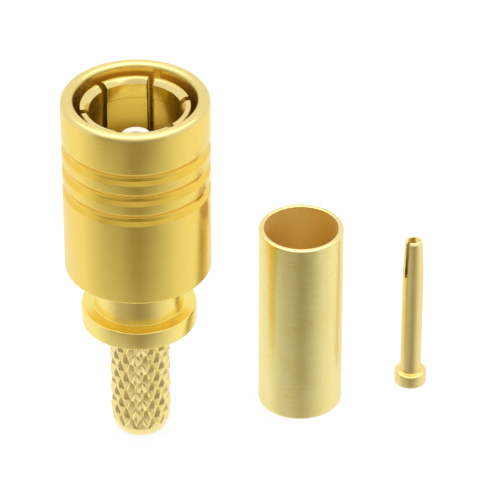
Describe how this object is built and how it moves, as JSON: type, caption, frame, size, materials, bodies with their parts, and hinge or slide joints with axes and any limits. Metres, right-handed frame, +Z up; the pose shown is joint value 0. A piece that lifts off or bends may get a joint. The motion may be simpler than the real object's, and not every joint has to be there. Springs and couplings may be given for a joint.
{
  "type": "push-on coaxial crimp plug",
  "caption": "Gold-plated push-on coaxial crimp plug for thin cable, with its loose crimp ferrule and its loose slotted centre contact standing beside it.",
  "frame": {"origin": "centre of the cable end of the plug's knurled stem, where the plug stands and the cable goes in", "axes": "+Z up the plug's axis towards its socket, +X towards the loose ferrule and the loose contact, -Y towards the viewer"},
  "size_m": [0.0159, 0.007, 0.0169],
  "materials": {
    "gold_body": "gold plate over turned brass, satin along the barrel, bright on the edges",
    "gold_spring": "gold plate over a springy copper alloy, smooth and bright",
    "gold_knurled": "gold plate over turned brass with a diamond knurl",
    "gold_ferrule": "gold plate over soft drawn brass tube, fine rings from turning",
    "gold_contact": "gold plate over a springy copper alloy, satin",
    "white_insulator": "white low-friction plastic, slightly waxy"
  },
  "bodies": {
    "root": {"rear_body": "gold_knurled", "outer_shell": "gold_body", "spring_collet": "gold_spring", "insulator": "white_insulator", "crimp_ferrule": "gold_ferrule", "centre_contact": "gold_contact"}
  },
  "joints": []
}
